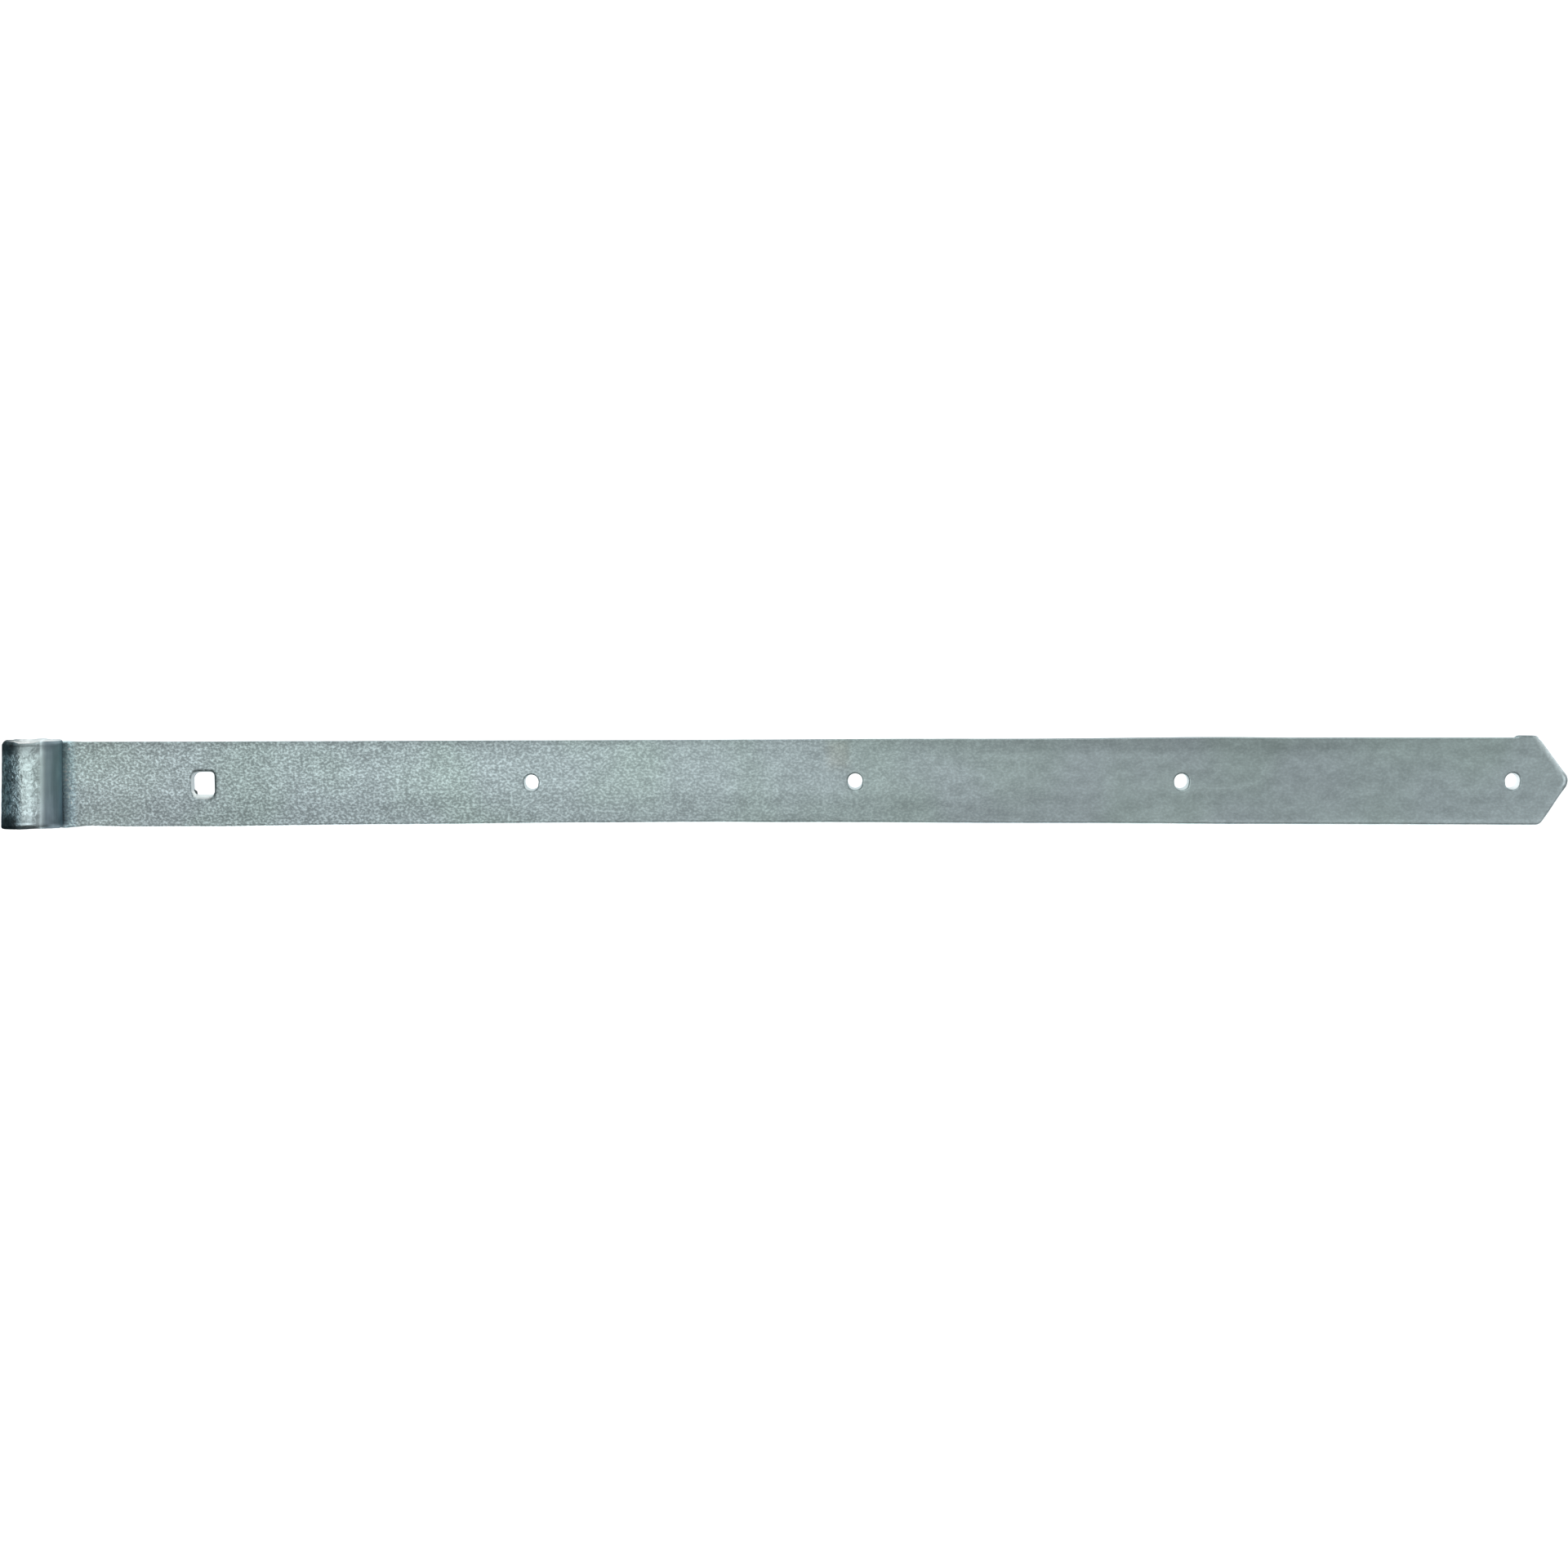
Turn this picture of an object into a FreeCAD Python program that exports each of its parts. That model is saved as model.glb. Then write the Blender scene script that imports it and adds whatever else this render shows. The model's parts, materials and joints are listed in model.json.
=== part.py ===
import FreeCAD, Part
import math
import os

# The band of a hook and band hinge: one flat bar, rolled at one end into an eye for the
# hook's pin, cut to a blunt point at the other, and punched for a bolt and four screws.
# X runs along the band from the pin's axis to the tip, Y along the pin, and Z out of the
# front face. The origin is on the pin's axis, halfway across the band.
# All sizes are in millimetres and degrees.

# The flat bar
BAR_WIDTH = 40.0
BAR_THICKNESS = 5.0
BAR_EDGE_ROUND = 1.0
OVERALL_LENGTH = 750.0

# The rolled eye, and the pin of the hook that it turns on
PIN_DIAMETER = 16.0
PIN_CLEARANCE = 0.25
SEAM_GAP = 0.4

# The point: two slanting cuts across the bar, with their corners worn round
TIP_CUT_ANGLE = 54.0
TIP_ROUND = 5.0
SHOULDER_ROUND = 4.0

# The square hole, which takes the neck of a coach bolt
SQUARE_HOLE_WIDTH = 11.0
SQUARE_HOLE_CORNER = 1.8
SQUARE_HOLE_FROM_PIN = 80.0

# The round holes, one row along the middle of the band
SCREW_HOLE_DIAMETER = 7.0
SCREW_HOLE_COUNT = 4
SCREW_HOLE_PITCH = 157.0
LAST_SCREW_HOLE_FROM_TIP = 25.5

# The punch draws the front face down into each hole's rim
PUNCHED_RIM_ROUND = 0.8

# What follows from them
BORE_RADIUS = PIN_DIAMETER / 2 + PIN_CLEARANCE
EYE_RADIUS = BORE_RADIUS + BAR_THICKNESS
FRONT_Z = -BORE_RADIUS
BACK_Z = -EYE_RADIUS
TIP_X = OVERALL_LENGTH - EYE_RADIUS
# The two slanting cuts would meet here if the tip weren't round
SHARP_TIP_X = TIP_X + TIP_ROUND * (1 / math.sin(math.radians(TIP_CUT_ANGLE)) - 1)
SHOULDER_X = SHARP_TIP_X - BAR_WIDTH / 2 / math.tan(math.radians(TIP_CUT_ANGLE))
# The end of the bar stops short of its own front face by the seam's gap
SEAM_ANGLE = math.degrees(math.asin((BORE_RADIUS - SEAM_GAP) / EYE_RADIUS))
FIRST_SCREW_HOLE_X = TIP_X - LAST_SCREW_HOLE_FROM_TIP - (SCREW_HOLE_COUNT - 1) * SCREW_HOLE_PITCH

# A cutter or a blank runs past what it cuts by this much
OVERRUN = 10.0
# Nearer than this counts as touching
TOUCHING = FreeCAD.Base.Precision.approximation()

Z_AXIS = FreeCAD.Vector(0, 0, 1)


def rounded_outline(corners, radii):
    """A closed wire through the corners, in order, each turned by an arc of its radius."""
    bends = []
    for number, corner in enumerate(corners):
        to_last = (corners[number - 1] - corner).normalize()
        to_next = (corners[(number + 1) % len(corners)] - corner).normalize()
        half_angle = to_last.getAngle(to_next) / 2
        reach = radii[number] / math.tan(half_angle)
        middle = (to_last + to_next).normalize() * radii[number] * (1 / math.sin(half_angle) - 1)
        bends.append((corner + to_last * reach, corner + middle, corner + to_next * reach))
    edges = []
    for number, (start, middle, end) in enumerate(bends):
        if radii[number]:
            edges.append(Part.Arc(start, middle, end).toShape())
        edges.append(Part.makeLine(end, bends[(number + 1) % len(bends)][0]))
    return Part.Wire(edges)


def in_eye(radius, angle):
    """The point of the eye's section at this radius and angle, from +X towards +Z."""
    return FreeCAD.Vector(
        radius * math.cos(math.radians(angle)), 0, radius * math.sin(math.radians(angle))
    )


def rolled_section():
    """The bar seen from its edge: a straight run that rolls up, over and down to the seam."""
    rolled_from = -90.0
    rolled_to = -SEAM_ANGLE
    far_side = 180.0
    end_x = SHARP_TIP_X + OVERRUN
    outside = Part.Arc(
        in_eye(EYE_RADIUS, rolled_from),
        in_eye(EYE_RADIUS, far_side),
        in_eye(EYE_RADIUS, rolled_to),
    )
    inside = Part.Arc(
        in_eye(BORE_RADIUS, rolled_to),
        in_eye(BORE_RADIUS, far_side),
        in_eye(BORE_RADIUS, rolled_from),
    )
    back_end = FreeCAD.Vector(end_x, 0, BACK_Z)
    front_end = FreeCAD.Vector(end_x, 0, FRONT_Z)
    return Part.Wire(
        [
            Part.makeLine(back_end, in_eye(EYE_RADIUS, rolled_from)),
            outside.toShape(),
            Part.makeLine(in_eye(EYE_RADIUS, rolled_to), in_eye(BORE_RADIUS, rolled_to)),
            inside.toShape(),
            Part.makeLine(in_eye(BORE_RADIUS, rolled_from), front_end),
            Part.makeLine(front_end, back_end),
        ]
    )


def plan_outline():
    """The band seen from the front: straight sides, two slanting cuts and a round tip."""
    half_width = BAR_WIDTH / 2
    start_x = -EYE_RADIUS - OVERRUN
    below = BACK_Z - OVERRUN
    corners = [
        FreeCAD.Vector(start_x, -half_width, below),
        FreeCAD.Vector(SHOULDER_X, -half_width, below),
        FreeCAD.Vector(SHARP_TIP_X, 0, below),
        FreeCAD.Vector(SHOULDER_X, half_width, below),
        FreeCAD.Vector(start_x, half_width, below),
    ]
    return rounded_outline(corners, [0, SHOULDER_ROUND, TIP_ROUND, SHOULDER_ROUND, 0])


def rolled_bar():
    """The bar with its eye and its point, every edge along it rounded as rolled and dipped."""
    blank_width = BAR_WIDTH + 2 * OVERRUN
    blank = Part.Face(rolled_section()).extrude(FreeCAD.Vector(0, blank_width, 0))
    blank.translate(FreeCAD.Vector(0, -blank_width / 2, 0))
    height = Z_AXIS * (2 * EYE_RADIUS + 2 * OVERRUN)
    outline = plan_outline()
    bar = blank.common(Part.Face(outline).extrude(height)).Solids[0]
    sides = outline.extrude(height)
    return bar.makeFillet(BAR_EDGE_ROUND, [edge for edge in bar.Edges if runs_along(edge, sides)])


def runs_along(edge, sides):
    """Is this edge one of those that follow the bar's length, round the eye and the point?"""
    middle = edge.valueAt((edge.FirstParameter + edge.LastParameter) / 2)
    on_a_side = sides.distToShape(Part.Vertex(middle))[0] < TOUCHING
    # A straight edge that climbs is a corner of the bar's end, not one of its long edges
    climbs = isinstance(edge.Curve, Part.Line) and abs(edge.Curve.Direction.z) > TOUCHING
    return on_a_side and not climbs


def square_cutter():
    half_side = SQUARE_HOLE_WIDTH / 2
    turns = [(-1, -1), (1, -1), (1, 1), (-1, 1)]
    corners = [
        FreeCAD.Vector(
            SQUARE_HOLE_FROM_PIN + half_side * along, half_side * across, BACK_Z - OVERRUN
        )
        for along, across in turns
    ]
    outline = rounded_outline(corners, [SQUARE_HOLE_CORNER] * len(corners))
    return Part.Face(outline).extrude(Z_AXIS * (BAR_THICKNESS + 2 * OVERRUN))


def screw_cutter(number):
    centre = FreeCAD.Vector(FIRST_SCREW_HOLE_X + number * SCREW_HOLE_PITCH, 0, BACK_Z - OVERRUN)
    return Part.makeCylinder(
        SCREW_HOLE_DIAMETER / 2, BAR_THICKNESS + 2 * OVERRUN, centre, Z_AXIS
    )


def punched(bar):
    """The bar with all its holes, whose rims on the front face the punch has drawn in."""
    cutters = [square_cutter()] + [screw_cutter(number) for number in range(SCREW_HOLE_COUNT)]
    pierced = bar.cut(cutters).Solids[0]
    # The front and back faces are the two with holes in them, and the front is the higher
    faces_with_holes = [face for face in pierced.Faces if len(face.Wires) > 1]
    front = max(faces_with_holes, key=lambda face: face.CenterOfMass.z)
    rims = [wire for wire in front.Wires if not wire.isSame(front.OuterWire)]
    return pierced.makeFillet(PUNCHED_RIM_ROUND, [edge for rim in rims for edge in rim.Edges])


os.makedirs("parts", exist_ok=True)
punched(rolled_bar()).Solids[0].exportStep("parts/band.step")
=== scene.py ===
import json
import math

import bmesh
import bpy
from mathutils import Matrix, Vector, noise


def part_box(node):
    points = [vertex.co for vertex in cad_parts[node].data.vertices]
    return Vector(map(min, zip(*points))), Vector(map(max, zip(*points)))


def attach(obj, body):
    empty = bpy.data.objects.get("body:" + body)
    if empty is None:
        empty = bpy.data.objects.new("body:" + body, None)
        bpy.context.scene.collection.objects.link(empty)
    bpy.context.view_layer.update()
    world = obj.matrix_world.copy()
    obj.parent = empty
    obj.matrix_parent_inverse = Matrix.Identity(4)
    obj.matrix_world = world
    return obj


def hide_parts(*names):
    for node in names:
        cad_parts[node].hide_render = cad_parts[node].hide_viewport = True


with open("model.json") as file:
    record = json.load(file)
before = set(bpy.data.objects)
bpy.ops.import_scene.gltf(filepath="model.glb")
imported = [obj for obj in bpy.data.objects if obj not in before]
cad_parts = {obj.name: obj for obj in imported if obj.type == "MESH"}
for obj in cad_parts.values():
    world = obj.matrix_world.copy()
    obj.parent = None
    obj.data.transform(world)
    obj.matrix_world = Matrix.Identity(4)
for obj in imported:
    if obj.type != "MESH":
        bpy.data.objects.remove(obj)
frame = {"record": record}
bpy.context.view_layer.update()

# The band's sizes in metres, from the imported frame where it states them
MM = 0.001
low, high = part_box("band")
mounts = {mount["name"]: mount for mount in frame["record"]["mounts"]}
BORE_RADIUS = mounts["pin_bore"]["dims"]["r_mm"] * MM
EYE_RADIUS = high.z
HALF_WIDTH = high.y
TIP_X = high.x
FRONT_Z = -BORE_RADIUS
BACK_Z = low.z
THICKNESS = FRONT_Z - BACK_Z
SCREW_HOLE_RADIUS = mounts["outer_screw_holes"]["dims"]["hole_r_mm"] * MM
BOLT_HOLE_X = mounts["coach_bolt_hole"]["pos_m"][0]
SCREW_HOLES_X = sorted(
    mounts[row]["pos_m"][0] + side * mounts[row]["dims"]["spacing_x_mm"] * MM / 2
    for row in ("outer_screw_holes", "inner_screw_holes")
    for side in (-1, 1)
)

# The bar's edges, the seam, and the point's cuts, which the frame doesn't state
EDGE_ROUND = 1.0 * MM
SEAM_GAP = 0.4 * MM
TIP_CUT_ANGLE = math.radians(54)
TIP_ROUND = 5.6 * MM
SHOULDER_ROUND = 4.0 * MM
UPPER_SHOULDER_ROUND = 4.6 * MM

# How far the lower shoulder, the point and the upper shoulder were sheared off their places
OUTLINE_STRAYS = ((0.95, 0), (0.87, -0.4), (0.25, 0))

# The holes, and how far the punch came down beside each one's place, in millimetres
SQUARE_HALF_SIDE = 5.5 * MM
SQUARE_CORNER = 1.8 * MM
FRONT_RIM_ROUND = 0.9 * MM
SQUARE_RIM_ROUND = 2.0 * MM
BACK_RIM_ROUND = 0.3 * MM
SQUARE_HOLE_ASIDE = (-0.6, -0.4)
ROUND_HOLES_ASIDE = ((0, 0), (0, 0.2), (-0.3, -0.3), (0, -0.35))

# The square hole's upper left corner is worn, and scale sits in its lower left one
WORN_CORNER = 2.0 * MM
WORN_CORNER_AT = math.radians(135)
CORNER_SCALE = 1.1 * MM
CORNER_SCALE_AT = -138
CORNER_SCALE_HALF_WIDTH = 14
# Its rim is drawn in most at its upper right, and by this share less opposite
RIM_DRAWN_IN_AT = math.radians(30)
RIM_SHORTAGE = 0.7

# The punch tore out each hole's lower side, and how far is worked out from the sine of the angle
# below the hole's middle: the tear starts at a span's first value and is whole at its second
SQUARE_BREAK_OUT = 1.9 * MM
SQUARE_BREAK_SPAN = (0.66, 0.97)
ROUND_BREAK_OUT = 1.0 * MM
ROUND_BREAK_SPAN = (0.2, 1.0)

# The form that bending gives the eye's ends, the upper one most
UPPER_FLARE = 1.55 * MM
UPPER_BORE_FLARE = 2.5 * MM
UPPER_LIP_DIP = 1.7 * MM
LOWER_BORE_FLARE = 0.6 * MM
LIP_RISE = 0.28 * MM
LIP_FROM_END = 1.9 * MM
UPPER_END_DROOP = 1.1 * MM
LOWER_END_DROOP = 0.6 * MM
EYE_ASKEW = 0.028
FAR_SIDE_ASKEW = 0.02
EYE_OVAL = 0.03

# Where round the roll each of these comes or goes, or its middle and half its width, in degrees
# from the start of the bend
BENDS = (0, 100)
BORE_FLARE_STARTS = (100, 165)
BORE_FLARE_ENDS = (300, 240)
LIP_STARTS = (130, 180)
UPPER_DROOP_ENDS = (190, 150)
LIP_DIP_MIDDLE, LIP_DIP_HALF_WIDTH = 193, 45
LOWER_DROOP_MIDDLE, LOWER_DROOP_HALF_WIDTH = 180, 60

# The eye's ends and the long edges are out of true from these shares of the half width outwards
ENDS_FROM = 0.6
STRAYS_FROM = 0.2

# How far the dipped faces are from flat
WAVE_LENGTH = 16 * MM
WAVE_HEIGHT = 0.06 * MM
LUMP_LENGTH = 2.6 * MM
LUMP_HEIGHT = 0.085 * MM
LUMP_SHIFT = Vector((7.3, 2.1, 5.9))
LUMPS_START = (FRONT_Z, FRONT_Z + 3 * MM)

# The burr on the upper edge
BURR_FROM = 713.0 * MM
BURR_TO = 724.0 * MM
BURR_RISE = 1.4 * MM
BURR_FALL = 1 * MM
BURR_HEIGHT = 1.0 * MM
BURR_REACH_IN = 4 * MM

# The shears dragged down the upper slanting cut, and the tip less, in the front part of the bar
DRAG_WIDTH = 3.2 * MM
DRAG_DEPTH = 0.75 * MM
TIP_DRAG_DEPTH = 0.35 * MM
TIP_DRAG_STARTS = (-5 * MM, -1 * MM)
FULL_DRAG_STARTS = (1 * MM, 6 * MM)
DRAGGED_SHARE = 0.4

# How far each long edge strays outwards, in millimetres, at these distances along the bar
UPPER_EDGE = (
    (0, 0), (0.012, 0.35), (0.02, 0.08), (0.05, 0.05), (0.08, 0.02), (0.14, 0.03), (0.2, 0.08),
    (0.3, 0.1), (0.42, 0.3), (0.48, 0.25), (0.57, 0.75), (0.61, 0.4), (0.71, 0.15), (0.75, -0.25),
)
LOWER_EDGE = (
    (0, 0.68), (0.011, 2.05), (0.0165, 1.6), (0.021, 1.15), (0.045, 1.5), (0.075, 1.45), (0.17, 0.6),
    (0.27, -0.1), (0.32, -0.3), (0.37, -0.1), (0.5, 0.65), (0.6, 1.3), (0.75, 1.95),
)
# The same for the eye's lower end, at these distances from the pin's axis
LOWER_EYE_EDGE = (
    (-0.013, 1.0), (-0.003, 0.8), (0.004, 0.5), (0.009, 0.75), (0.0115, 1.05), (0.0132, 1.9),
)

# The mesh's own cells, and the turns of its roundings
CELL = 1.0 * MM
EYE_STEPS = 78
EDGE_SEGMENTS = 4
SHOULDER_SEGMENTS = 6
TIP_SEGMENTS = 8
STRAIGHT_TO_X = 0.7
SAME_PLACE = 0.001 * MM

# The patches round the holes that give way to rings. Over a rim these are so many degrees apart,
# and the first one lies flat, this many roundings out from the wall
SCREW_HOLE_PATCH = 8 * MM
BOLT_HOLE_PATCH = 12 * MM
RIM_STEP = 15
RIM_PATCH = 1.6
FACES_FRONT_OR_BACK = 0.99

X_AXIS = Vector((1, 0, 0))
Y_AXIS = Vector((0, 1, 0))
Z_AXIS = Vector((0, 0, 1))

# The sizes of what shows in the zinc
GRAIN_SIZE = 1.05 * MM
MOTTLE_SIZE = 1.8 * MM
STREAK_SIZE = 1.2 * MM
CLOUD_SIZE = 5 * MM
SMEAR_SIZE = 7 * MM
TINT_SIZE = 45 * MM
GRAIN_HEIGHT = 0.18 * MM

# Painted light and shade stripes on the eye, and its pressed side, as places along X, which lean by
# this much for each unit of Y
MARKS_LEAN = 0.035
PRESSED_SIDE = (7.4 * MM, 9.4 * MM)
SHADE_BAND_X = -2.9 * MM
LIT_STRIP_X = 8.1 * MM
SEAM_HIGHLIGHT_X = 8.8 * MM

# The zinc's colour at the eye, and those that take its place from one x to another, which change along
# the bar partly by the zinc's own tone and partly as painted light and shade
ZINC_AT_EYE = (0.435, 0.512, 0.512, 1)
ZINC_ALONG_BAR = (
    (0.015, 0.11, (0.342, 0.412, 0.416, 1)),
    (0.13, 0.2, (0.322, 0.391, 0.391, 1)),
    (0.36, 0.5, (0.362, 0.435, 0.439, 1)),
    (0.5, 0.6, (0.346, 0.417, 0.421, 1)),
    (0.6, 0.68, (0.366, 0.445, 0.448, 1)),
)
ZINC_ON_EYE = (0.37, 0.448, 0.452, 1)
# Painted light, lighter and bluer, for the flat beside the eye
PAINTED_LIGHT_BESIDE_EYE = (0.68, 0.88, 0.93, 1)
# Painted light and shade: the pressed side's colour where it faces the light and where it turns away
PRESSED_LIT = (0.54, 0.66, 0.67, 1)
PRESSED_SHADED = (0.23, 0.30, 0.33, 1)
# Painted highlight for the eye's upper lip
PAINTED_LIP_HIGHLIGHT = (0.80, 0.83, 0.82, 1)
DARK_SPOT_BLACK = (0.07, 0.08, 0.08, 1)
EDGE_TINT = (0.55, 0.62, 0.66, 1)

# What changes a colour that is there already, by multiplying it
# The next two tint the painted reflection on the eye's far side, more warmly where it is steep
COLD_SIDE = (0.88, 1.0, 1.09, 1)
WARM_STEEP = (1.22, 1.05, 0.97, 1)
# Tints the dragged cut, where a highlight is painted
WARM_CUT = (1.1, 1.0, 1.0, 1)
GREENISH = (0.985, 1.01, 0.99, 1)
PURPLISH = (1.0, 0.99, 1.02, 1)
BROWNISH = (1.03, 0.985, 0.94, 1)

# The walls of the holes, painted in light greys as painted reflection
HOLE_WALL = (0.70, 0.76, 0.76, 1)
LAST_HOLE_WALL = (0.88, 0.92, 0.92, 1)
SQUARE_HOLE_WALL = (0.50, 0.55, 0.56, 1)
TORN_WALL = (0.74, 0.79, 0.78, 1)
HOLES_FROM_X = 0.03
SQUARE_HOLE_TO_X = 0.11
HOLES_TO_X = 0.725

# The near-black spot in the square hole's corner
DARK_SPOT_PLACE = (0.0749, -0.0046, -0.0125)
DARK_SPOT_EDGE = (1.7 * MM, 1.1 * MM)

# The studio: white all round, and black cards that only the eye's gloss shows
FLOOR_SIZE = 6.0
FLOOR_BELOW = 0.1 * MM
FLOOR_PAINT = (0.85, 0.85, 0.85, 1)
FLOOR_LIFT = 0.8
MIRRORED_FLOOR_LIFT = 0.75
SURROUNDINGS = 0.2
WHITE = (1, 1, 1, 1)
CARD_BLACK = (0.12, 0.17, 0.19, 1)
CARD_LIFT = 0.5 * MM

# Each card's name, its near side, how far it lies away from there, and how high it then stands
CARDS = (
    ("end_card", ((-0.016, -0.3), (-0.016, 0.09)), (-0.284, 0, 0), (0, 0, 0.2)),
    ("near_card", ((-0.016, -0.024), (0.004, -0.024)), (0, -0.276, 0), (0, 0, 0.16)),
)

# Each lamp's name, place and target, its width and length, and its radiance
LAMPS = (
    ("softbox", (0.04, 0.0, 0.75), (0.04, 0, 0), 0.72, 1.0, 1.45),
    ("side_panel", (1.05, 0.0, 1.0), (0.7, 0, 0), 0.9, 1.2, 0.6),
    ("far_panel", (0.36, 1.1, 0.55), (0.36, 0, 0), 1.8, 0.9, 1.2),
    ("end_panel", (1.9, 0.4, 0.45), (0.3, 0, 0), 1.2, 0.85, 0.9),
)

# The camera, in metres, millimetres and degrees
CAMERA_PLACE = (0.38161, 0.04816, 0.77175)
CAMERA_LENS = 37.173
CAMERA_SENSOR = 36
CAMERA_ROLL = -0.215
CAMERA_PITCH = -3.623
CAMERA_SWING = 1.374


def smooth_step(start, end, value):
    part = min(max((value - start) / (end - start), 0), 1)
    return part * part * (3 - 2 * part)


def hump(centre, half_width, value):
    return smooth_step(half_width, 0, abs(value - centre))


def everything(bm):
    return bm.verts[:] + bm.edges[:] + bm.faces[:]


def only(kind, geom):
    """Those of some vertices, edges and faces that are of this kind."""
    return [item for item in geom if isinstance(item, kind)]


def place_in_scene(bm, name):
    """Makes an object of a finished bmesh, which keeps its place in its mesh."""
    mesh = bpy.data.meshes.new(name)
    bm.to_mesh(mesh)
    bm.free()
    made = bpy.data.objects.new(name, mesh)
    bpy.context.scene.collection.objects.link(made)
    return made


def round_off(bm, geom, reach, kind, segments):
    bmesh.ops.bevel(
        bm, geom=geom, offset=reach, offset_type="OFFSET", affect=kind,
        segments=segments, profile=0.5, material=-1,
    )


def cut_blank():
    """The flat bar as it comes off the shears, with its long edges rolled round."""
    # A rounded point stands back from the sharp one by this share of its rounding's reach
    arc_share = 2 - math.sqrt(2)
    stand_back = TIP_ROUND * (1 / math.sin(TIP_CUT_ANGLE) - 1)
    tip_reach = stand_back / (arc_share * math.cos(TIP_CUT_ANGLE))
    sharp_x = TIP_X + stand_back
    shoulder_x = sharp_x - HALF_WIDTH / math.tan(TIP_CUT_ANGLE)
    bm = bmesh.new()
    outline = [
        (0, -HALF_WIDTH),
        (shoulder_x, -HALF_WIDTH),
        (sharp_x, 0),
        (shoulder_x, HALF_WIDTH),
        (0, HALF_WIDTH),
    ]
    corners = [bm.verts.new((x, y, FRONT_Z)) for x, y in outline]
    bm.faces.new(corners)
    lower_shoulder, tip, upper_shoulder = corners[1:4]
    for corner, (dx, dy) in zip((lower_shoulder, tip, upper_shoulder), OUTLINE_STRAYS):
        corner.co += Vector((dx, dy, 0)) * MM
    for corner, rounding in ((lower_shoulder, SHOULDER_ROUND), (upper_shoulder, UPPER_SHOULDER_ROUND)):
        reach = rounding * math.tan(TIP_CUT_ANGLE / 2)
        round_off(bm, [corner], reach, "VERTICES", SHOULDER_SEGMENTS)
    round_off(bm, [tip], tip_reach, "VERTICES", TIP_SEGMENTS)
    made = bmesh.ops.extrude_face_region(bm, geom=bm.faces[:])["geom"]
    bmesh.ops.translate(bm, vec=-THICKNESS * Z_AXIS, verts=only(bmesh.types.BMVert, made))
    bmesh.ops.recalc_face_normals(bm, faces=bm.faces[:])
    long_edges = [
        edge
        for edge in bm.edges
        if abs(edge.verts[0].co.z - edge.verts[1].co.z) < SAME_PLACE
        and max(vert.co.x for vert in edge.verts) > SAME_PLACE
    ]
    round_off(bm, long_edges, EDGE_ROUND, "EDGES", EDGE_SEGMENTS)
    return bm


def divide_into_cells(bm):
    """Even cells over the whole bar, so that its faces can take a form of their own."""
    rows = round(2 * (HALF_WIDTH - EDGE_ROUND) / CELL)
    for row in range(1, rows):
        y = (row - rows / 2) * CELL
        bmesh.ops.bisect_plane(bm, geom=everything(bm), plane_co=y * Y_AXIS, plane_no=Y_AXIS)
    middle_z = (FRONT_Z + BACK_Z) / 2
    bmesh.ops.bisect_plane(bm, geom=everything(bm), plane_co=middle_z * Z_AXIS, plane_no=Z_AXIS)
    for column in range(round((TIP_X - STRAIGHT_TO_X) / CELL)):
        x = STRAIGHT_TO_X + column * CELL
        bmesh.ops.bisect_plane(bm, geom=everything(bm), plane_co=x * X_AXIS, plane_no=X_AXIS)
    long_edges = [edge for edge in bm.edges if edge.calc_length() > STRAIGHT_TO_X - CELL]
    columns = round(STRAIGHT_TO_X / CELL)
    bmesh.ops.subdivide_edges(bm, edges=long_edges, cuts=columns - 1, use_grid_fill=True)


def broken_out(angle, z, reach, span):
    """How far a hole's lower side was torn out by the punch, from nothing at the back."""
    return reach * (z - BACK_Z) / THICKNESS * smooth_step(*span, -math.sin(angle))


def screw_hole(angle, grow, z):
    """How far the wall of a round hole, grown by this much, stands from its centre."""
    return SCREW_HOLE_RADIUS + grow + broken_out(angle, z, ROUND_BREAK_OUT, ROUND_BREAK_SPAN)


def square_hole(angle, grow, z):
    """The same for the square hole, with one worn corner and a crust of scale in another."""
    grow *= 1 - RIM_SHORTAGE * max(-math.cos(angle - RIM_DRAWN_IN_AT), 0)
    half_side = SQUARE_HALF_SIDE + grow
    worn = max(math.cos(angle - WORN_CORNER_AT), 0) ** 4
    corner = SQUARE_CORNER + WORN_CORNER * worn + grow
    along, across = abs(math.cos(angle)), abs(math.sin(angle))
    torn = broken_out(angle, z, SQUARE_BREAK_OUT, SQUARE_BREAK_SPAN)
    crust = hump(CORNER_SCALE_AT, CORNER_SCALE_HALF_WIDTH, math.degrees(angle))
    torn -= CORNER_SCALE * (FRONT_Z - z) / THICKNESS * crust
    inset = half_side - corner
    to_side = half_side / max(along, across)
    if to_side * min(along, across) < inset:
        return to_side + torn
    to_middle = inset * (along + across)
    return to_middle + math.sqrt(to_middle ** 2 - 2 * inset ** 2 + corner ** 2) + torn


def rim(face_z, inward, rounding):
    """The rings, as growth and height, that lead from a face over a hole's rim to its middle."""
    turns = [math.radians(angle) for angle in range(0, 90 + RIM_STEP, RIM_STEP)]
    over = [
        (rounding * (1 - math.sin(turn)), face_z + inward * rounding * (1 - math.cos(turn)))
        for turn in turns
    ]
    return [(RIM_PATCH * rounding, face_z), *over, (0, (FRONT_Z + BACK_Z) / 2)]


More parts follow.
